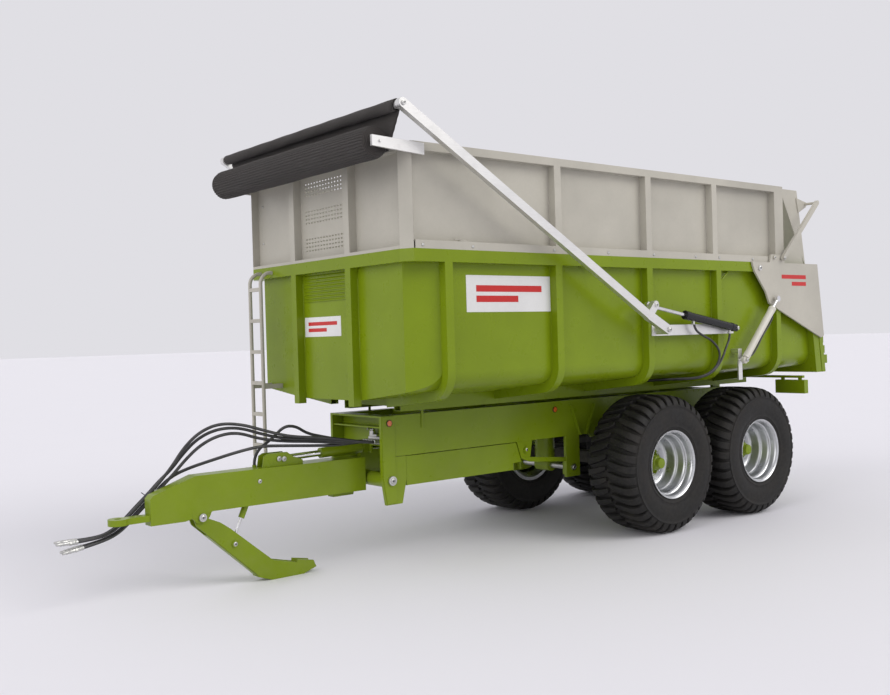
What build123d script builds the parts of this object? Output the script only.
"""Tandem-axle rear-tipping grain trailer with extension walls, swinging tailgate and roll-over net cover.

Millimetres. +X points forward to the hitch, +Y to the trailer's left, +Z up. The origin is on the ground,
on the centreline, half way between the front of the hitch eye and the back of the tailgate locks.
"""
from build123d import *
import math
import os

os.makedirs("parts", exist_ok=True)

# ---- overall layout: distances along the machine are measured ahead of the bogie centre ----
eye_reach = 5430          # front of the hitch eye ahead of the bogie centre
lock_reach = 1950         # back of the tailgate locks behind the bogie centre
bogie_x = (lock_reach - eye_reach) / 2


def fore(distance):
    """X of a point that far ahead of the bogie centre."""
    return bogie_x + distance


fit = 0.05                # radial clearance of a running fit
gap = 0.5                 # side clearance between pieces that move past each other

# ---- tub ----
half_width = 1200         # outer face of the tub's ribs and rim
rib_depth = 70
rib_width = 75
skin = 8                  # plate thickness of the tub and the extension
wall = 8                  # wall of the folded ribs, rims and rails
tub_front = fore(3636)
tub_top = 2494
floor_z = 1362            # underside of the tub floor at the centre
floor_flat = 410          # half-width of the level part of the floor
bilge_z = 1450            # height where floor slope and side would meet
bend_radius = 150
rim_height = 94
slant = 0.13              # rearward lean of the back edge for each unit of drop
rear_top_x = fore(-1660)
corner_fold_x = fore(3300)    # where the front corner's fold meets the side panel
corner_fold_y = half_width - 170    # where it meets the front panel
corner_y = half_width - 100         # end of the front face of the rim and of the extension
side_rib_x = [fore(d) for d in (3260, 2100, 960, -50, -1030)]
front_rib_y = 410
sub_rail_outer = 410
sub_rail_width = 90
sub_rail_bottom = 1250
sub_rail_front = fore(3160)
sub_rail_rear = fore(-1600)

# ---- extension ----
ext_top = 3270
ext_rear = fore(-1150)
ext_rail = 62
ext_rib_x = [fore(d) for d in (2090, 955, -5)]

# ---- chassis ----
rail_outer = 375
rail_width = 90
rail_top = 1220
rail_bottom = 887
rail_wall = 10
rail_front = fore(3203)
rail_rear = fore(-1300)
cheek_front = fore(3332)
drawbar_pin = (fore(3247), 695)
drawbar_pin_radius = 25
tip_pin = (fore(-1220), 1140)
tip_pin_radius = 25
ram_x = fore(1140)        # tipping ram, upright at rest
ram_base_z = 590
ram_radius = 95

# ---- bogie and wheels ----
axle_half_spacing = 679
axle_z = 630
tyre_radius = 630
tyre_outer = 1205         # outer sidewall off the centreline
tyre_width = 550
rim_seat = 290
spindle_radius = 40
axle_square = 110
bogie_shaft = (fore(0), 830)
bogie_shaft_radius = 55
spring_inner = 415
spring_width = 90
leaf_thickness = 15

# ---- drawbar and stand ----
beam_half_front = 50
beam_half_rear = 120
beam_wall = 10
beam_top = 875
beam_bottom = 600
eye_x = eye_reach + bogie_x - 70
eye_z = 605
eye_bore = 25
eye_outer = 70
eye_thickness = 45
susp_base = (fore(3262), 945)
susp_tip = (fore(4042), 927)
stand_pin = (fore(4750), 563)
stand_pin_radius = 15
stand_rod_pin = (fore(4485), 326)
stand_base_pin = (fore(4277), 780)

# ---- cover arms and tailgate ----
arm_pivot = (fore(911), 1852)
arm_top = (fore(3760), ext_top + 220)
arm_inner = half_width + 110
arm_thickness = 50
crank_pin = (fore(1080), 2070)
cover_ram_base = (fore(-195), 1851)
side_ram_y = half_width + 62    # centreline of the rams on the tub's sides
roll_centre = (fore(3872), ext_top - 35)
roll_radius = 125
roll_half = half_width - 40
roller_pin = 12
gate_pivot = (fore(-680), 2436)
gate_inner = half_width + 5
gate_plate = 20
gate_ram_base = (fore(-335), 1540)
gate_ram_pin = (fore(-920), 2130)
flap_pivot = (fore(-1060), 2540)
flap_arm_top = (fore(-1700), ext_top - 135)
flap_arm_inner = gate_inner + gate_plate + 10
flap_arm_thickness = 30

pieces = []


# ---- shaping helpers, used inside a BuildPart block ----
def plate(outline, y_low, y_high, mode=Mode.ADD):
    """Plate with an outline in X and Z, between two distances off the centreline."""
    with BuildSketch(Plane.XZ.offset(-y_high)) as profile:
        with BuildLine():
            Polyline(*outline, close=True)
        make_face()
    extrude(profile.sketch, amount=y_high - y_low, mode=mode)


def block(x, y, z, mode=Mode.ADD):
    """Rectangular block between pairs of X, Y and Z."""
    with Locations(((x[0] + x[1]) / 2, (y[0] + y[1]) / 2, (z[0] + z[1]) / 2)):
        Box(abs(x[1] - x[0]), abs(y[1] - y[0]), abs(z[1] - z[0]), mode=mode)


def bar(start, end, radius, mode=Mode.ADD):
    """Round bar between two points."""
    along = Vector(*end) - Vector(*start)
    with BuildSketch(Plane(origin=start, z_dir=along)) as section:
        Circle(radius)
    extrude(section.sketch, amount=along.length, mode=mode)


def cross_bar(point, radius, y_low, y_high, mode=Mode.ADD):
    """Round bar or bore along Y at a point given in X and Z."""
    bar((point[0], y_low, point[1]), (point[0], y_high, point[1]), radius, mode)


def link(start, end, half_height, y_low, y_high, mode=Mode.ADD):
    """Flat link with rounded ends between two points given in X and Z."""
    run = Vector(end[0] - start[0], end[1] - start[1])
    with BuildSketch(Plane.XZ.offset(-y_high)) as profile:
        with Locations(Location(((start[0] + end[0]) / 2, (start[1] + end[1]) / 2), math.degrees(
                math.atan2(run.Y, run.X)))):
            SlotCenterToCenter(run.length, 2 * half_height)
    extrude(profile.sketch, amount=y_high - y_low, mode=mode)


def both_sides():
    """Copies what the block holds to the trailer's other side."""
    mirror(about=Plane.XZ)


def along(start, end, distance):
    """Point in X and Z that far from start towards end."""
    span = math.dist(start, end)
    return tuple(a + (b - a) * distance / span for a, b in zip(start, end))


def back_x(z, shift=0):
    """X of the tub's slanted back edge at a height."""
    return rear_top_x - (tub_top - z) * slant + shift


# ---- chassis: two channel rails, cross members and the headstock ----
rail_outline = [(rail_front, rail_bottom), (rail_front, rail_top), (fore(-1220), rail_top),
                (rail_rear, rail_top - 80), (rail_rear, rail_bottom + 100), (fore(-1150), rail_bottom)]
rail_inset = [(rail_front - rail_wall, rail_bottom + rail_wall),
              (rail_front - rail_wall, rail_top - rail_wall),
              (fore(-1120), rail_top - rail_wall), (fore(-1120), rail_bottom + rail_wall)]
rail_inner = rail_outer - rail_width
with BuildPart() as chassis_rails:
    plate(rail_outline, rail_inner, rail_outer)
    plate(rail_inset, rail_inner, rail_outer - rail_wall, Mode.SUBTRACT)
    cross_bar(tip_pin, tip_pin_radius + fit, rail_inner, rail_outer, Mode.SUBTRACT)
    block((fore(1050), fore(1230)), (rail_outer - 30, rail_outer), (504, rail_bottom))
    block((fore(1090), fore(1190)), (rail_inner, rail_outer - 30), (520, 660))
    cross_bar((ram_x, ram_base_z), 30 + fit, rail_inner, rail_outer, Mode.SUBTRACT)
    both_sides()
    chassis_rails.part.label = "chassis_rails"
pieces.append(chassis_rails)

side_box = [(fore(3090), 640), (fore(3090), 880), (fore(1860), 880), (fore(1800), 705), (fore(1900), 700),
            (fore(1900), 640)]
with BuildPart() as lower_side_boxes:
    plate(side_box, rail_inner + 20, rail_outer - 6)
    plate([(fore(3078), 652), (fore(3078), 868), (fore(1912), 868), (fore(1912), 652)],
          rail_inner + 20, rail_outer - 16, Mode.SUBTRACT)
    for post_x in (fore(3050), fore(2450), fore(1890)):
        block((post_x - 25, post_x + 25), (rail_outer - 40, rail_outer - 16), (868, rail_bottom))
    both_sides()
    lower_side_boxes.part.label = "lower_side_boxes"
pieces.append(lower_side_boxes)

bracket_plates = [
    ([(fore(1850), rail_bottom), (fore(1660), rail_bottom), (fore(1690), 735), (fore(1800), 735)],
     rail_outer - 25, rail_outer - 5),
    ([(fore(1800), 735), (fore(1690), 735), (fore(1230), 690), (fore(1230), 650), (fore(1700), 695)],
     rail_outer - 25, rail_outer - 5),
    ([(fore(1175), 1170), (fore(1163), 1170), (fore(1040), rail_bottom), (fore(1060), rail_bottom)],
     rail_outer, rail_outer + 30),
    ([(fore(850), 1170), (fore(838), 1170), (fore(960), rail_bottom), (fore(985), rail_bottom)],
     rail_outer, rail_outer + 30),
    ([(fore(260), rail_bottom), (fore(-260), rail_bottom), (fore(-110), 740), (fore(110), 740)],
     rail_outer - 40, rail_outer - 10)]
with BuildPart() as frame_brackets:
    for member_x, member_low in ((fore(2700), 900), (fore(1600), 900), (fore(450), 960), (fore(-1000), 960)):
        block((member_x - 40, member_x + 40), (-rail_inner, rail_inner), (member_low, rail_top))
    block((fore(-1290), fore(-1262)), (-rail_inner, rail_inner), (1000, 1090))
    # hangers, tie bars, gussets and the plates that carry the bogie shaft
    for side in (1, -1):
        for outline, low, high in bracket_plates:
            plate(outline, *sorted((side * low, side * high)))
        cross_bar((fore(1745), 809), 26, *sorted((side * (rail_outer - 5), side * (rail_outer + 12))))
    cross_bar(bogie_shaft, bogie_shaft_radius, -rail_outer, rail_outer, Mode.SUBTRACT)
    frame_brackets.part.label = "frame_brackets"
pieces.append(frame_brackets)

cheek_outline = [(cheek_front, rail_top), (rail_front, rail_top), (rail_front, 884), (fore(3095), 884),
                 (fore(3095), 690), (fore(3140), 500), (fore(3298), 500), (cheek_front, 713)]
cheek_inner = rail_outer - 30
with BuildPart() as headstock:
    plate(cheek_outline, cheek_inner, rail_outer)
    plate([(fore(3203), 1214), (fore(3203), 510), (fore(3294), 510), (fore(3326), 713), (fore(3326), 1214)],
          rail_outer, rail_outer + 6)
    cross_bar(drawbar_pin, drawbar_pin_radius + fit, cheek_inner, rail_outer + 6, Mode.SUBTRACT)
    both_sides()
    block((rail_front, cheek_front), (-cheek_inner, cheek_inner), (1205, rail_top))
    block((rail_front, rail_front + 15), (-cheek_inner, cheek_inner), (960, 1205))
    block((rail_front + 15, cheek_front - 12), (-cheek_inner, cheek_inner), (1120, 1132))
    # ears and pin of the drawbar's suspension ram
    for ear_y in (25, -37):
        block((rail_front + 15, susp_base[0] + 16), (ear_y, ear_y + 12), (905, 975))
    block((rail_front, rail_front + 15), (-60, 60), (900, 960))
    cross_bar(susp_base, 14, -44, 44)
    headstock.part.label = "headstock"
pieces.append(headstock)

with BuildPart() as chassis_pins:
    shaft_end = spring_inner + spring_width + gap
    cross_bar(bogie_shaft, bogie_shaft_radius, -shaft_end - 12, shaft_end + 12)
    cross_bar(drawbar_pin, drawbar_pin_radius, -rail_outer - 10, rail_outer + 10)
    cross_bar(tip_pin, tip_pin_radius, -rail_outer - 14, rail_outer + 14)
    cross_bar((ram_x, ram_base_z), 30, -rail_outer - 12, rail_outer + 12)
    for side in (1, -1):
        cross_bar(bogie_shaft, bogie_shaft_radius + 22, *sorted((side * shaft_end, side * (shaft_end + 12))))
        cross_bar(drawbar_pin, 38, *sorted((side * (rail_outer + 6), side * (rail_outer + 24))))
    chassis_pins.part.label = "chassis_pins"
pieces.append(chassis_pins)

with BuildPart() as reflectors:
    cross_bar((fore(3260), 1160), 24, rail_outer + 6, rail_outer + 14)
    cross_bar((fore(1368), 1145), 24, rail_outer, rail_outer + 8)
    both_sides()
    reflectors.part.label = "reflectors"
pieces.append(reflectors)

hose_y = [120, 158, 196, 234, 272]
manifold_z = 1010
with BuildPart() as hose_manifold:
    block((rail_front + 15, rail_front + 60), (90, 302), (manifold_z - 32, manifold_z + 32))
    for port_y in hose_y:
        bar((rail_front + 60, port_y, manifold_z), (rail_front + 85, port_y, manifold_z), 15)
    hose_manifold.part.label = "hose_manifold"
pieces.append(hose_manifold)

# ---- bogie: axles, leaf packs, clamps ----
axle_x = [fore(axle_half_spacing), fore(-axle_half_spacing)]
tyre_inner = tyre_outer - tyre_width
axle_top = axle_z + axle_square / 2
with BuildPart() as axles:
    for x in axle_x:
        block((x - axle_square / 2, x + axle_square / 2), (-tyre_inner + 20, tyre_inner - 20),
              (axle_z - axle_square / 2, axle_top))
        cross_bar((x, axle_z), spindle_radius, -tyre_outer + 300, tyre_outer - 300)
    axles.part.label = "axles"
pieces.append(axles)

leaf_half = [axle_half_spacing + 120, 560, 420, 280]
spring_outer = spring_inner + spring_width
pack_top = axle_top + leaf_thickness * len(leaf_half)
with BuildPart() as leaf_springs:
    for level, half in enumerate(leaf_half):
        block((fore(-half), fore(half)), (spring_inner, spring_outer),
              (axle_top + level * leaf_thickness, axle_top + (level + 1) * leaf_thickness))
    block((fore(-120), fore(120)), (spring_inner, spring_outer), (pack_top, bogie_shaft[1]))
    cross_bar(bogie_shaft, bogie_shaft_radius + 32, spring_inner, spring_outer)
    cross_bar(bogie_shaft, bogie_shaft_radius + fit, spring_inner, spring_outer, Mode.SUBTRACT)
    both_sides()
    leaf_springs.part.label = "leaf_springs"
pieces.append(leaf_springs)

with BuildPart() as spring_clamps:
    for x in axle_x:
        for bolt_x in (x - axle_square / 2 - 14, x + axle_square / 2 + 14):
            for bolt_y in (spring_inner - 14, spring_outer + 14):
                bar((bolt_x, bolt_y, axle_z - axle_square / 2 - 34), (bolt_x, bolt_y, axle_top + 34), 11)
        block((x - axle_square / 2 - 34, x + axle_square / 2 + 34), (spring_inner - 30, spring_outer + 30),
              (axle_z - axle_square / 2 - 20, axle_z - axle_square / 2))
        block((x - axle_square / 2 - 34, x + axle_square / 2 + 34), (spring_inner - 30, spring_outer + 30),
              (axle_top + leaf_thickness, axle_top + leaf_thickness + 12))
    both_sides()
    spring_clamps.part.label = "spring_clamps"
pieces.append(spring_clamps)


# ---- wheels ----
def ring(centre_x, outline, side, mode=Mode.ADD):
    """Solid of revolution about a wheel's axis from an outline in radius and distance off the centreline."""
    with BuildSketch(Plane(origin=(centre_x, 0, axle_z), x_dir=(1, 0, 0), z_dir=(0, 0, 1))) as profile:
        with BuildLine():
            Polyline(*[(radius, side * y) for radius, y in outline], close=True)
        make_face()
    revolve(profile.sketch, Axis((centre_x, 0, axle_z), (0, 1, 0)), mode=mode)


bead_out = tyre_outer - 30
bead_in = tyre_inner + 30
tyre_outline = [(rim_seat + 0.3, bead_in), (rim_seat + 22.5, bead_in), (rim_seat + 60, tyre_inner + 10),
                (tyre_radius - 150, tyre_inner), (tyre_radius - 55, tyre_inner + 18),
                (tyre_radius - 12, tyre_inner + 55), (tyre_radius, tyre_inner + 120),
                (tyre_radius, tyre_outer - 120), (tyre_radius - 12, tyre_outer - 55),
                (tyre_radius - 55, tyre_outer - 18), (tyre_radius - 150, tyre_outer),
                (rim_seat + 60, tyre_outer - 10), (rim_seat + 22.5, bead_out), (rim_seat + 0.3, bead_out),
                (rim_seat + 0.3, bead_out - 32), (rim_seat + 60, tyre_outer - 42),
                (tyre_radius - 150, tyre_outer - 24), (tyre_radius - 62, tyre_outer - 55),
                (tyre_radius - 50, tyre_outer - 120), (tyre_radius - 50, tyre_inner + 120),
                (tyre_radius - 62, tyre_inner + 55), (tyre_radius - 150, tyre_inner + 24),
                (rim_seat + 60, tyre_inner + 42), (rim_seat + 0.3, bead_in + 32)]
disc_y = tyre_outer - 305
rim_outline = [(rim_seat + 22, bead_out + 12), (rim_seat + 22, bead_out + 0.3), (rim_seat, bead_out + 0.3),
               (rim_seat, bead_out - 55), (rim_seat - 24, bead_out - 67), (rim_seat - 24, bead_out - 145),
               (rim_seat - 44, bead_out - 157), (rim_seat - 44, bead_in + 45), (rim_seat, bead_in + 25),
               (rim_seat, bead_in - 0.3), (rim_seat + 22, bead_in - 0.3), (rim_seat + 22, bead_in - 12),
               (rim_seat - 12, bead_in - 12), (rim_seat - 12, bead_in + 18), (rim_seat - 56, bead_in + 38),
               (rim_seat - 56, disc_y - 7), (85, disc_y - 7), (85, disc_y + 7), (rim_seat - 56, disc_y + 7),
               (rim_seat - 56, bead_out - 150), (rim_seat - 36, bead_out - 138), (rim_seat - 36, bead_out - 60),
               (rim_seat - 12, bead_out - 48), (rim_seat - 12, bead_out + 12)]
hub_outline = [(spindle_radius + fit, disc_y - 160), (95, disc_y - 160), (95, disc_y - 25), (184, disc_y - 25),
               (184, disc_y - 160), (200, disc_y - 160), (200, disc_y - 7), (84.7, disc_y - 7),
               (84.7, disc_y + 7), (132, disc_y + 7), (132, disc_y + 24), (78, disc_y + 30), (74, disc_y + 105),
               (52, disc_y + 118), (46, disc_y + 150), (0, disc_y + 156), (0, disc_y + 12),
               (spindle_radius + fit, disc_y + 12)]
for x, end in zip(axle_x, ("front", "rear")):
    for side, hand in ((1, "left"), (-1, "right")):
        with BuildPart() as tyre:
            ring(x, tyre_outline, side)
            tyre.part.label = f"tyre_{end}_{hand}"
        with BuildPart() as wheel:
            ring(x, rim_outline, side)
            ring(x, hub_outline, side)
            for turn in range(10):
                angle = math.radians(36 * turn)
                nut = (x + 108 * math.cos(angle), axle_z + 108 * math.sin(angle))
                cross_bar(nut, 13, *sorted((side * (disc_y + 20), side * (disc_y + 44))))
            wheel.part.label = f"wheel_{end}_{hand}"
        pieces += [tyre, wheel]


# ---- drawbar, hitch eye and lugs ----
beam_front = fore(5140)
beam_rear = drawbar_pin[0] + 75
beam_side = [(beam_rear, beam_bottom + 5), (beam_rear, beam_top), (fore(4790), beam_top), (fore(5115), 766),
             (beam_front, 740), (beam_front, 550), (fore(4880), 550), (fore(4660), beam_bottom)]
beam_cavity = [(beam_rear + 15, beam_bottom + 15), (beam_rear + 15, beam_top - beam_wall),
               (fore(4780), beam_top - beam_wall), (fore(5090), 756), (beam_front - 15, 735),
               (beam_front - 15, 560), (fore(4880), 560), (fore(4660), beam_bottom + beam_wall)]


def tapered_plan(inset, height, mode):
    """Prism that narrows from the drawbar's rear to its front."""
    with BuildSketch(Plane.XY.offset(height[0])) as plan:
        with BuildLine():
            Polyline((beam_rear, beam_half_rear - inset), (beam_front, beam_half_front - inset),
                     (beam_front, inset - beam_half_front), (beam_rear, inset - beam_half_rear), close=True)
        make_face()
    extrude(plan.sketch, amount=height[1] - height[0], mode=mode)


with BuildPart() as beam_core:
    plate(beam_cavity, -200, 200)
    tapered_plan(beam_wall, (500, 1000), Mode.INTERSECT)

with BuildPart() as drawbar_beam:
    plate(beam_side, -200, 200)
    tapered_plan(0, (500, 1000), Mode.INTERSECT)
    add(beam_core.part, mode=Mode.SUBTRACT)
    # gland of the stand's hose
    bar((fore(4240), -66, beam_top - 5), (fore(4240), -66, 890), 17)
    # slot in the lower plate and in the cavity for the stand ram
    block((fore(4290), fore(4440)), (-32, 32), (beam_bottom - 20, beam_bottom + 30), Mode.SUBTRACT)
    # cross tube on the pivot pin
    link(drawbar_pin, (beam_rear + 30, 735), 60, -60, 60)
    cross_bar(drawbar_pin, 60, -cheek_inner + 3, cheek_inner - 3)
    cross_bar(drawbar_pin, drawbar_pin_radius + fit, -400, 400, Mode.SUBTRACT)
    # lug for the hose and the suspension ram, and the small stop underneath
    for lug_y in (34, -46):
        plate([(fore(4230), beam_top), (fore(4215), 960), (fore(4180), 978), (fore(4010), 978),
               (fore(3960), 940), (fore(3870), 905), (fore(3870), beam_top)], lug_y, lug_y + 12)
    block((fore(3520), fore(3590)), (-40, 40), (beam_bottom - 30, beam_bottom + 8))
    # stand hanger plates, and the opening between them where the leg's head turns
    block((fore(4640), fore(4830)), (-50.5, 50.5), (530, 625), Mode.SUBTRACT)
    for lug_y in (50.5, -63):
        plate([(fore(4830), 620), (fore(4825), 560), (fore(4790), 525), (fore(4735), 520), (fore(4690), 560),
               (fore(4660), 620)], lug_y, lug_y + 12.5)
    cross_bar(stand_pin, stand_pin_radius + fit, -100, 100, Mode.SUBTRACT)
    cross_bar(stand_base_pin, 12 + fit, -200, 200, Mode.SUBTRACT)
    drawbar_beam.part.label = "drawbar_beam"
pieces.append(drawbar_beam)

with BuildPart() as hitch_eye:
    with BuildSketch(Plane.XY.offset(eye_z - eye_thickness / 2)) as eye_plan:
        with Locations((eye_x, 0)):
            Circle(eye_outer)
        with Locations(((eye_x + beam_front) / 2, 0)):
            Rectangle(eye_x - beam_front, 84)
    extrude(eye_plan.sketch, amount=eye_thickness)
    bar((eye_x, 0, 500), (eye_x, 0, 700), eye_bore, Mode.SUBTRACT)
    hitch_eye.part.label = "hitch_eye"
pieces.append(hitch_eye)

with BuildPart() as drawbar_fittings:
    for bolt in ((fore(4086), 932), (fore(4042), 927)):
        cross_bar(bolt, 14, 46, 58)
        cross_bar(bolt, 14, -58, -46)
        cross_bar(bolt, 9, -34, 34)
    cross_bar(stand_pin, stand_pin_radius, -72, 72)
    cross_bar(stand_pin, 30, 66, 80)
    cross_bar(stand_pin, 30, -80, -66)
    cross_bar(stand_base_pin, 12, -88, 88)
    block((fore(5030), fore(5062)), (-beam_half_front - 12, -beam_half_front - 6), (742, 792))
    drawbar_fittings.part.label = "drawbar_fittings"
pieces.append(drawbar_fittings)

with BuildPart() as stand_leg:
    for side_y in (37, -49):
        plate([(fore(4790), 600), (fore(4715), 610), (fore(4690), 545), (fore(4600), 505), (fore(4518), 447),
               (fore(4163), 152), (fore(3950), 100), (fore(3946), 122), (fore(3800), 95), (fore(3780), 45),
               (fore(3895), 12), (fore(4175), 12), (fore(4287), 48), (fore(4790), 500), (fore(4812), 560)],
              side_y, side_y + 12)
    plate([(fore(4287), 42), (fore(4700), 415), (fore(4693), 423), (fore(4284), 52)], -37, 37)
    plate([(fore(4175), 0), (fore(4292), 40), (fore(4284), 52), (fore(4170), 12)], -49, 49)
    block((fore(3895), fore(4175)), (-49, 49), (0, 12))
    plate([(fore(3895), 0), (fore(3775), 40), (fore(3780), 52), (fore(3895), 12)], -49, 49)
    cross_bar(stand_pin, stand_pin_radius + fit, -60, 60, Mode.SUBTRACT)
    cross_bar(stand_rod_pin, 12, -60, 60)
    cross_bar(stand_rod_pin, 26, 49, 60)
    cross_bar(stand_rod_pin, 26, -60, -49)
    stand_leg.part.label = "stand_leg"
pieces.append(stand_leg)


# ---- rams ----
def at(point, y):
    """Point in X and Z put at a distance off the centreline."""
    return point[0], y, point[1]


def ram_barrel(base, head, y, radius, bore, eye_radius, pin_radius, eye_half):
    """Barrel with a base eye, bored for its rod, between two points given in X and Z."""
    length = math.dist(base, head)
    bar(at(along(base, head, eye_radius - 8), y), at(head, y), radius)
    cross_bar(base, eye_radius, y - eye_half, y + eye_half)
    bar(at(along(base, head, eye_radius + 20), y), at(along(base, head, length + 20), y), bore, Mode.SUBTRACT)
    cross_bar(base, pin_radius, y - 100, y + 100, Mode.SUBTRACT)


def ram_rod(tip, back, y, radius, eye_radius, eye_half):
    """Rod with a round end at its tip."""
    bar(at(back, y), at(tip, y), radius)
    cross_bar(tip, eye_radius, y - eye_half, y + eye_half)


rod_gap = 1               # radial clearance of a rod in its barrel

# drawbar suspension ram, lying on top of the drawbar
susp_head = along(susp_base, susp_tip, 420)
with BuildPart() as suspension_barrel:
    ram_barrel(susp_base, susp_head, 0, 42, 26, 30, 14 + fit, 24)
    suspension_barrel.part.label = "suspension_barrel"
with BuildPart() as suspension_rod:
    ram_rod(susp_tip, along(susp_base, susp_tip, 120), 0, 25, 32, 24)
    cross_bar(susp_tip, 17, -40, 40, Mode.SUBTRACT)
    suspension_rod.part.label = "suspension_rod"
pieces += [suspension_barrel, suspension_rod]

# parking stand ram, inside the drawbar
with BuildPart() as stand_barrel:
    ram_barrel(stand_base_pin, along(stand_base_pin, stand_rod_pin, 300), 0, 24, 13, 24, 12 + fit, 22)
    stand_barrel.part.label = "stand_barrel"
with BuildPart() as stand_rod:
    ram_rod(stand_rod_pin, along(stand_base_pin, stand_rod_pin, 210), 0, 12, 26, 20)
    cross_bar(stand_rod_pin, 17, -40, 40, Mode.SUBTRACT)
    stand_rod.part.label = "stand_rod"
pieces += [stand_barrel, stand_rod]

# tipping ram: a barrel and four stages nested in it, upright between the rails
stage_radii = [80, 66, 52, 38]
ram_barrel_top = 1235
ram_head_z = 1300
with BuildPart() as tipping_barrel:
    ram_barrel((ram_x, ram_base_z), (ram_x, ram_barrel_top), 0, ram_radius, stage_radii[0] + rod_gap, 60,
               30 + fit, 90)
    tipping_barrel.part.label = "tipping_barrel"
pieces.append(tipping_barrel)
for stage, radius in enumerate(stage_radii):
    stage_top = ram_barrel_top + 8 * (stage + 1)
    with BuildPart() as tipping_stage:
        bar((ram_x, 0, 685), (ram_x, 0, stage_top), radius)
        if stage < len(stage_radii) - 1:
            bar((ram_x, 0, 684), (ram_x, 0, stage_top + 1), stage_radii[stage + 1] + rod_gap, Mode.SUBTRACT)
        else:
            cross_bar((ram_x, ram_head_z), 38, -50, 50)
        tipping_stage.part.label = f"tipping_stage_{stage + 1}"
    pieces.append(tipping_stage)


# ---- tub ----
panel_half = half_width - rib_depth
panel_front = tub_front - rib_depth


def tub_section(x_low, x_high, inset, top, mode=Mode.ADD):
    """Cross-section of the tub, drawn in from the outside of its skin, run between two X."""
    with BuildSketch(Plane.YZ.offset(x_low)) as profile:
        with BuildLine():
            side = [(floor_flat, floor_z + inset), (panel_half - inset, bilge_z + inset),
                    (panel_half - inset, top)]
            Polyline(*side, *[(-y, z) for y, z in reversed(side)], close=True)
        make_face()
        fillet(profile.vertices().filter_by(lambda v: abs(v.Y - bilge_z - inset) < 1), bend_radius - inset)
    extrude(profile.sketch, amount=x_high - x_low, mode=mode)


def plan_prism(outline, z_low, z_high, mode=Mode.ADD):
    """Prism with an outline in X and Y, given for the left side and closed across the centreline."""
    with BuildSketch(Plane.XY.offset(z_low)) as plan:
        with BuildLine():
            Polyline(*outline, *[(x, -y) for x, y in reversed(outline)], close=True)
        make_face()
    extrude(plan.sketch, amount=z_high - z_low, mode=mode)


def trim_back(z_low, z_high):
    """Cuts off what lies behind the tub's slanted back edge."""
    plate([(back_x(z_low), z_low), (back_x(z_high), z_high), (fore(-2500), z_high), (fore(-2500), z_low)],
          -half_width - 50, half_width + 50, Mode.SUBTRACT)


far_back = fore(-2000)
skin_plan = [(far_back, panel_half), (corner_fold_x, panel_half), (panel_front, corner_fold_y)]
inner_plan = [(far_back, panel_half - skin), (corner_fold_x - 3, panel_half - skin),
              (panel_front - skin, corner_fold_y - 5)]
rim_plan = [(far_back, half_width), (fore(3580), half_width), (tub_front, corner_y)]
rim_hollow = [(rear_top_x + 20, half_width - wall), (fore(3577), half_width - wall), (tub_front - wall, corner_y - 3)]

with BuildPart() as tub_hollow:
    tub_section(far_back, tub_front, skin, tub_top + 10)
    plan_prism(inner_plan, 1000, 3000, Mode.INTERSECT)

with BuildPart() as tub_body:
    tub_section(far_back, tub_front, 0, tub_top)
    plan_prism(skin_plan, 1000, 3000, Mode.INTERSECT)

with BuildPart() as tub_shell:
    add(tub_body.part)
    add(tub_hollow.part, mode=Mode.SUBTRACT)
    trim_back(1200, 2700)
    tub_shell.part.label = "tub_shell"
pieces.append(tub_shell)

rim_bottom = tub_top - rim_height
with BuildPart() as tub_rim:
    plan_prism(rim_plan, rim_bottom, tub_top)
    plan_prism(rim_hollow, rim_bottom + wall, tub_top - wall, Mode.SUBTRACT)
    add(tub_body.part, mode=Mode.SUBTRACT)
    trim_back(1200, 2700)
    # front posts below the rim
    for side in (1, -1):
        block((panel_front, tub_front), (side * front_rib_y - rib_width / 2, side * front_rib_y + rib_width / 2),
              (1320, rim_bottom))

with BuildPart() as tub_ribs:
    for rib_x in side_rib_x:
        tub_section(rib_x - rib_width / 2, rib_x + rib_width / 2, -rib_depth, rim_bottom)
        tub_section(rib_x - rib_width / 2 + wall, rib_x + rib_width / 2 - wall, wall - rib_depth, rim_bottom + 1,
                    Mode.SUBTRACT)
    add(tub_body.part, mode=Mode.SUBTRACT)
    block((far_back, tub_front), (-sub_rail_outer, sub_rail_outer), (1200, floor_z + 30), Mode.SUBTRACT)

with BuildPart() as tub_rear_frame:
    plate([(back_x(floor_z), floor_z), (back_x(rim_bottom), rim_bottom), (back_x(rim_bottom, 100), rim_bottom),
           (back_x(floor_z, 100), floor_z)], -half_width, half_width)
    add(tub_body.part, mode=Mode.SUBTRACT)

with BuildPart() as tub_frame:
    add(tub_rim.part)
    add(tub_ribs.part)
    add(tub_rear_frame.part)
    tub_frame.part.label = "tub_frame"
pieces.append(tub_frame)

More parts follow.
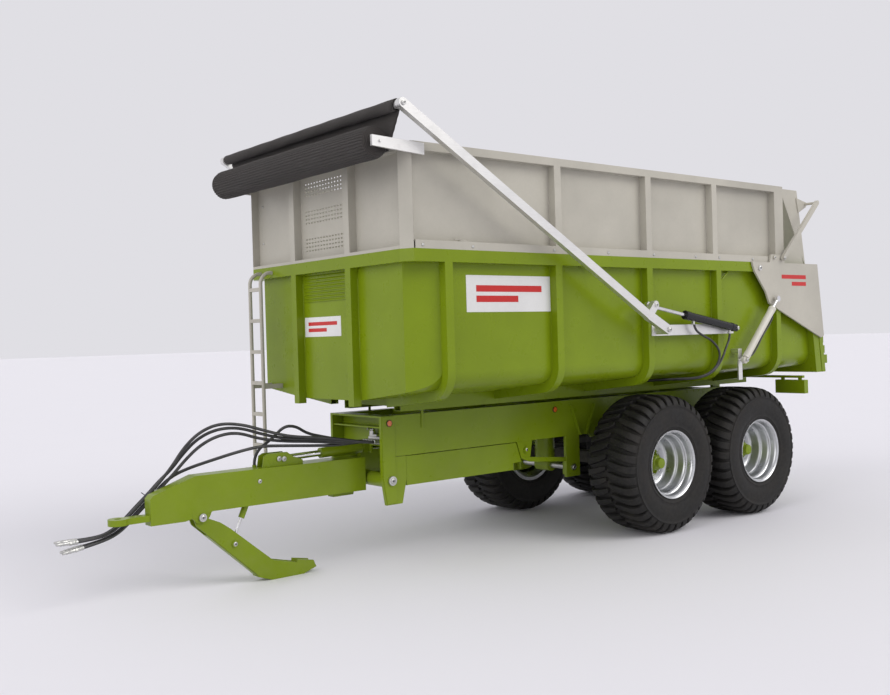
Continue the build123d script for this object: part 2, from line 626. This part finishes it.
sub_rail_inner = sub_rail_outer - sub_rail_width
lug_outer = rail_inner - gap
with BuildPart() as tub_subframe:
    block((sub_rail_rear, sub_rail_front), (sub_rail_inner, sub_rail_outer), (sub_rail_bottom, floor_z))
    block((sub_rail_rear, sub_rail_front), (sub_rail_inner + wall, sub_rail_outer - wall),
          (sub_rail_bottom + wall, floor_z - wall), Mode.SUBTRACT)
    plate([(fore(-1310), floor_z), (fore(-1130), floor_z), (fore(-1172), 1125), (fore(-1200), 1095),
           (fore(-1240), 1095), (fore(-1268), 1125)], lug_outer - 30, lug_outer)
    plate([(ram_x - 60, floor_z), (ram_x + 60, floor_z), (ram_x + 45, 1270), (ram_x - 45, 1270)], 52, 72)
    both_sides()
    for beam_x, depth in ((fore(3120), 70), (fore(2100), 60), (ram_x, 16), (fore(-50), 60), (fore(-1220), 60)):
        block((beam_x - 60, beam_x + 60), (-sub_rail_inner, sub_rail_inner), (floor_z - depth, floor_z))
    cross_bar(tip_pin, tip_pin_radius + fit, -lug_outer, lug_outer, Mode.SUBTRACT)
    tub_subframe.part.label = "tub_subframe"
pieces.append(tub_subframe)

# rear light panels on their bar, and the lenses
light_x = fore(-1500)
with BuildPart() as light_panels:
    block((light_x - 20, light_x + 20), (sub_rail_outer, half_width - 30), (1310, 1335))
    for stem_y in (half_width - 270, half_width - 70):
        block((light_x - 14, light_x + 14), (stem_y - 14, stem_y + 14), (1290, 1310))
    block((light_x - 35, light_x + 35), (half_width - 340, half_width), (1150, 1290))
    both_sides()
    light_panels.part.label = "light_panels"
with BuildPart() as light_lenses:
    for lens_y, lens_half in ((half_width - 270, 45), (half_width - 160, 45), (half_width - 55, 40)):
        block((light_x - 43, light_x - 35), (lens_y - lens_half, lens_y + lens_half), (1175, 1265))
    both_sides()
    light_lenses.part.label = "light_lenses"
pieces += [light_panels, light_lenses]

# brackets of the cover arms, the cover rams and the tailgate rams
with BuildPart() as side_brackets:
    block((fore(-240), fore(965)), (half_width, half_width + 12), (1800, 1895))
    cross_bar(arm_pivot, 18, half_width + 12, arm_inner + arm_thickness + 12)
    cross_bar(arm_pivot, 40, half_width + 12, arm_inner - gap)
    cross_bar(cover_ram_base, 14, half_width + 12, side_ram_y + 42)
    block((gate_ram_base[0] - 30, gate_ram_base[0] + 30), (panel_half, half_width + 15), (1610, 1650))
    block((gate_ram_base[0] - 30, gate_ram_base[0] + 30), (half_width, half_width + 15), (1350, 1650))
    cross_bar(gate_ram_base, 14, half_width + 15, side_ram_y + 42)
    cross_bar(gate_pivot, 15, half_width, gate_inner + gate_plate + 6)
    cross_bar(gate_pivot, 26, gate_inner + gate_plate + 1, gate_inner + gate_plate + 12)
    # arms that carry the cover's roller ahead of the extension
    plate([(fore(3480), ext_top - 100), (fore(3480), ext_top - 15), (fore(3940), ext_top + 2),
           (fore(3940), ext_top - 75)], half_width, half_width + 24)
    cross_bar(roll_centre, roller_pin + fit, half_width - 10, half_width + 40, Mode.SUBTRACT)
    both_sides()
    side_brackets.part.label = "side_brackets"
pieces.append(side_brackets)

# ladder at the right of the front wall
ladder_x = fore(3750)
ladder_rails = (240 - half_width, 430 - half_width)
ladder_top = tub_top - 49
with BuildPart() as ladder:
    for rail_y in ladder_rails:
        with BuildLine() as rail_path:
            FilletPolyline((ladder_x, rail_y, 850), (ladder_x, rail_y, ladder_top), (tub_front, rail_y, ladder_top),
                           radius=100)
        with BuildSketch(Plane(origin=(ladder_x, rail_y, 850), z_dir=(0, 0, 1))):
            Circle(16)
        sweep()
        block((panel_front, ladder_x), (rail_y - 12, rail_y + 12), (1440, 1480))
    for step in range(6):
        rung_z = 950 + 270 * step
        block((ladder_x - 14, ladder_x + 14), ladder_rails, (rung_z - 16, rung_z + 16))
    ladder.part.label = "ladder"
pieces.append(ladder)

# ---- extension walls ----
with BuildPart() as extension_sides:
    block((ext_rear, panel_front - skin), (panel_half - skin, panel_half), (tub_top, ext_top))
    block((ext_rear, panel_front), (panel_half, half_width), (tub_top, tub_top + ext_rail))
    block((ext_rear, panel_front), (panel_half, half_width), (ext_top - ext_rail, ext_top))
    for rib_x in ext_rib_x:
        block((rib_x - rib_width / 2, rib_x + rib_width / 2), (panel_half, half_width), (tub_top, ext_top))
    block((ext_rear, ext_rear + 150), (panel_half, half_width), (tub_top, ext_top))
    for rail_z in (tub_top, ext_top - ext_rail):
        block((ext_rear, panel_front), (panel_half + wall, half_width - wall),
              (rail_z + wall, rail_z + ext_rail - wall), Mode.SUBTRACT)
    plate([(ext_rear, tub_top), (ext_rear, 2560), (fore(-1500), 2790), (fore(-1610), tub_top)],
          panel_half, panel_half + skin)
    both_sides()
    extension_sides.part.label = "extension_sides"

grille_half = 330
grille_bands = [(2560, 2720), (2790, 2950), (3020, 3180)]
with BuildPart() as extension_front:
    block((panel_front - skin, panel_front), (-panel_half, panel_half), (tub_top, ext_top))
    block((panel_front, tub_front), (-corner_y, corner_y), (tub_top, tub_top + 24))
    block((panel_front, tub_front), (-corner_y, corner_y), (ext_top - ext_rail, ext_top))
    for side in (1, -1):
        block((panel_front, tub_front), (side * front_rib_y - rib_width / 2, side * front_rib_y + rib_width / 2),
              (tub_top, ext_top))
        plan = [(panel_front, panel_half), (fore(3580), half_width), (tub_front, corner_y), (panel_front, corner_y)]
        with BuildSketch(Plane.XY.offset(tub_top)) as post_plan:
            with BuildLine():
                Polyline(*[(x, side * y) for x, y in plan], close=True)
            make_face()
        extrude(post_plan.sketch, amount=ext_top - tub_top)
    for low, high in grille_bands:
        block((panel_front - skin, panel_front), (-grille_half, grille_half), (low, high), Mode.SUBTRACT)
        with BuildSketch(Plane.YZ.offset(panel_front - skin)) as mesh:
            with Locations((0, (low + high) / 2)):
                Rectangle(2 * grille_half, high - low)
                with GridLocations(44, 32, 14, 4):
                    Rectangle(26, 12, mode=Mode.SUBTRACT)
        extrude(mesh.sketch, amount=skin)
    extension_front.part.label = "extension_front"
pieces += [extension_sides, extension_front]

# ---- cover roller, roll and net ----
with BuildPart() as roller_tube:
    cross_bar(roll_centre, 30, -half_width + gap, half_width - gap)
    cross_bar(roll_centre, roller_pin, -half_width - 36, half_width + 36)
    roller_tube.part.label = "roller_tube"
with BuildPart() as cover_roll:
    cross_bar(roll_centre, roll_radius, -roll_half, roll_half)
    cross_bar(roll_centre, 30, -roll_half, roll_half, Mode.SUBTRACT)
    cover_roll.part.label = "cover_roll"
pieces += [roller_tube, cover_roll]

arm_outer = arm_inner + arm_thickness
arm_knee = (fore(1163), 1979)
with BuildPart() as cover_arms:
    link(arm_pivot, arm_knee, 40, arm_inner, arm_outer)
    link(arm_knee, arm_top, 36, arm_inner, arm_outer)
    link(arm_knee, crank_pin, 36, arm_inner, arm_outer)
    cross_bar(crank_pin, 14, side_ram_y + 18, arm_inner)
    cross_bar(crank_pin, 20, arm_outer, arm_outer + 10)
    cross_bar(arm_pivot, 18 + fit, 1000, 2000, Mode.SUBTRACT)
    both_sides()
    cover_arms.part.label = "cover_arms"
pieces.append(cover_arms)

bar_radius = 30
with BuildPart() as cover_crossbar:
    cross_bar(arm_top, bar_radius, -arm_inner, arm_inner)
    for side in (1, -1):
        cross_bar(arm_top, 16, *sorted((side * arm_outer, side * (arm_outer + 12))))
    cover_crossbar.part.label = "cover_crossbar"
pieces.append(cover_crossbar)

net = 8
# the net leaves the roll on its rear side
tangent_turn = math.acos((roll_radius - bar_radius) / math.dist(roll_centre, arm_top))
tangent_turn += math.atan2(arm_top[1] - roll_centre[1], arm_top[0] - roll_centre[0])
tangent = (math.cos(tangent_turn), math.sin(tangent_turn))
net_low = [(roll_centre[0] + r * tangent[0], roll_centre[1] + r * tangent[1])
           for r in (roll_radius + 1, roll_radius + 1 + net)]
net_high = [(arm_top[0] + r * tangent[0], arm_top[1] + r * tangent[1]) for r in (bar_radius, bar_radius + 1 + net)]
with BuildPart() as cover_net:
    plate([net_low[0], net_low[1], net_high[1], net_high[0]], -roll_half, roll_half)
    cover_net.part.label = "cover_net"
pieces.append(cover_net)

cover_ram_head = along(cover_ram_base, crank_pin, 775)
with BuildPart() as cover_barrels:
    ram_barrel(cover_ram_base, cover_ram_head, side_ram_y, 38, 17 + rod_gap, 34, 14 + fit, 15)
    both_sides()
    cover_barrels.part.label = "cover_barrels"
with BuildPart() as cover_rods:
    ram_rod(crank_pin, along(cover_ram_base, crank_pin, 560), side_ram_y, 17, 30, 15)
    both_sides()
    cover_rods.part.label = "cover_rods"
pieces += [cover_barrels, cover_rods]

# ---- tailgate ----
gate_outer = gate_inner + gate_plate
gate_front = 6            # clearance in front of the tailgate
gate_back = gate_front + 60
bay_pitch = 2 * half_width / 3
lock_y = half_width - 45
with BuildPart() as tailgate_panel:
    plate([(back_x(floor_z, -gate_front), floor_z), (back_x(tub_top, -gate_front), tub_top),
           (back_x(tub_top, -gate_back), tub_top), (back_x(floor_z, -gate_back), floor_z)],
          -gate_inner, gate_inner)
    for bay_y in (-bay_pitch, 0, bay_pitch):
        plate([(back_x(floor_z + 80, -gate_front - skin), floor_z + 80),
               (back_x(tub_top - 80, -gate_front - skin), tub_top - 80),
               (back_x(tub_top - 80, -gate_back - 5), tub_top - 80),
               (back_x(floor_z + 80, -gate_back - 5), floor_z + 80)],
              bay_y - bay_pitch / 2 + 50, bay_y + bay_pitch / 2 - 50, Mode.SUBTRACT)
    # hinge and lock blocks at the rear corners
    for low, high, depth in ((1450, 1540, 100), (1560, 1640, 70), (1670, 1750, 60), (2300, 2400, 60)):
        face_x = back_x(high, -gate_back)
        for side in (1, -1):
            block((max(face_x - depth, fore(-lock_reach)), face_x + 30),
                  (side * lock_y - 25, side * lock_y + 25), (low, high))
    for side in (1, -1):
        block((fore(-lock_reach), back_x(1520, -gate_back) + 30), (side * lock_y - 20, side * lock_y + 20), (1470, 1520))
    tailgate_panel.part.label = "tailgate_panel"

with BuildPart() as gate_side_plates:
    plate([(fore(-560), tub_top), (fore(-600), 2400), (fore(-780), 2200), (fore(-840), 2085),
           (fore(-1770), 1725), (back_x(1745, -gate_back), 1745), (back_x(tub_top, -gate_back), tub_top),
           (fore(-1120), tub_top), (fore(-1095), 2575), (fore(-885), 2575), (fore(-860), tub_top)],
          gate_inner, gate_outer)
    cross_bar(gate_pivot, 15 + fit, 0, 2000, Mode.SUBTRACT)
    cross_bar(gate_ram_pin, 16, gate_outer, side_ram_y - 16)
    cross_bar(flap_pivot, 12, gate_outer, flap_arm_inner)
    cross_bar((fore(-930), 2545), 18, gate_outer, gate_outer + 16)
    both_sides()
    gate_side_plates.part.label = "gate_side_plates"

flap_half = panel_half - 25
with BuildPart() as rear_flap:
    plate([(fore(-1678), tub_top), (fore(-1550), ext_top), (fore(-1562), ext_top), (fore(-1692), tub_top)],
          -flap_half, flap_half)
    for low in (-flap_half, flap_half - 12):
        plate([(fore(-1250), ext_top), (fore(-1556), ext_top), (fore(-1685), tub_top)], low, low + 12)
    plate([(fore(-1420), ext_top), (fore(-1556), ext_top), (fore(-1556), ext_top - 14),
           (fore(-1420), ext_top - 14)], -flap_half, flap_half)
    rear_flap.part.label = "rear_flap"

with BuildPart() as flap_struts:
    link(flap_pivot, flap_arm_top, 24, flap_arm_inner, flap_arm_inner + flap_arm_thickness)
    cross_bar(flap_pivot, 16, flap_arm_inner + flap_arm_thickness, flap_arm_inner + flap_arm_thickness + 8)
    cross_bar(flap_arm_top, 14, flap_half, flap_arm_inner)
    plate([(fore(-1540), ext_top - 80), (fore(-1725), ext_top - 115), (fore(-1725), ext_top - 160),
           (fore(-1575), ext_top - 230)], flap_half, flap_half + 10)
    both_sides()
    flap_struts.part.label = "flap_struts"
pieces += [tailgate_panel, gate_side_plates, rear_flap, flap_struts]

gate_ram_head = along(gate_ram_base, gate_ram_pin, 700)
with BuildPart() as gate_barrels:
    ram_barrel(gate_ram_base, gate_ram_head, side_ram_y, 35, 16 + rod_gap, 34, 14 + fit, 15)
    both_sides()
    gate_barrels.part.label = "gate_barrels"
with BuildPart() as gate_rods:
    ram_rod(gate_ram_pin, along(gate_ram_base, gate_ram_pin, 150), side_ram_y, 16, 30, 15)
    both_sides()
    gate_rods.part.label = "gate_rods"
pieces += [gate_barrels, gate_rods]

# ---- hydraulic hoses from the manifold to the tractor, and one into the drawbar ----
hose_radius = 12
bundle = [(4995, -80, 836), (5085, -88, 745), (5170, -98, 668), (5250, -110, 588), (5335, -114, 520),
          (5450, -116, 477)]
hose_routes = [
    [(3288, 272, 1010), (3400, 272, 1010), (3590, 240, 1050), (3800, 160, 1080), (4010, 90, 1100),
     (4200, 40, 1160), (4380, 0, 1222), (4560, -25, 1238), (4710, -45, 1180), (4830, -58, 1070),
     (4915, -64, 950), *[(x + 13, y + 13, z + 13) for x, y, z in bundle], (5660, -84, 492)],
    [(3288, 196, 1010), (3410, 196, 1010), (3600, 172, 1020), (3810, 96, 1046), (4020, 26, 1060),
     (4220, -10, 1095), (4400, -20, 1160), (4570, -10, 1150), (4715, -24, 1085), (4830, -45, 980),
     (4908, -58, 893), *[(x - 13, y + 13, z - 13) for x, y, z in bundle], (5620, -86, 440)],
    [(3288, 234, 1010), (3405, 234, 1010), (3595, 206, 1036), (3805, 128, 1064), (4015, 58, 1080),
     (4205, 14, 1130), (4385, -26, 1196), (4560, -50, 1196), (4705, -74, 1135), (4818, -90, 1030),
     (4912, -93, 922), *[(x + 13, y - 13, z + 13) for x, y, z in bundle], (5650, -140, 494)],
    [(3288, 158, 1010), (3420, 158, 1010), (3610, 138, 1000), (3820, 90, 1012), (4030, 44, 1028),
     (4230, 22, 1042), (4430, 10, 1012), (4620, -18, 968), (4780, -56, 926), (4893, -86, 882),
     *[(x - 13, y - 13, z - 13) for x, y, z in bundle], (5610, -146, 438)],
    [(3288, 120, 1010), (3400, 120, 1010), (3530, 70, 1035), (3657, 10, 1066), (3780, -30, 1100),
     (3870, -46, 1165), (3975, -54, 1172), (4075, -60, 1085), (4240, -66, 985), (4240, -66, 890)]]
hose_ends = []
for number, route in enumerate(hose_routes, 1):
    points = [Vector(fore(x), y, z) for x, y, z in route]
    radii = []
    for before, corner, after in zip(points, points[1:], points[2:]):
        half_turn = math.radians((corner - before).get_angle(after - corner)) / 2
        radii.append(0.45 * min((corner - before).length, (after - corner).length) / math.tan(half_turn))
    print("hose", number, "smallest radius", round(min(radii)))
    with BuildPart() as hose:
        with BuildLine() as centre_line:
            FilletPolyline(*points, radius=radii)
        with BuildSketch(Plane(origin=points[0], z_dir=points[1] - points[0])):
            Circle(hose_radius)
        sweep()
        hose.part.label = f"hydraulic_hose_{number}"
    length = centre_line.wire().length
    print("   length", round(length), "volume ratio",
          round(hose.part.volume / length / math.pi / hose_radius ** 2, 4))
    hose_ends.append((points[-1], (points[-1] - points[-2]).normalized()))
    pieces.append(hose)

with BuildPart() as hose_couplings:
    for end, way in hose_ends[:4]:
        for start, stop, radius in ((0, 34, 17), (34, 84, 14), (84, 112, 10)):
            bar(end + way * start, end + way * stop, radius)
    hose_couplings.part.label = "hose_couplings"
pieces.append(hose_couplings)

for piece in pieces:
    export_step(piece.part, f"parts/{piece.part.label}.step")
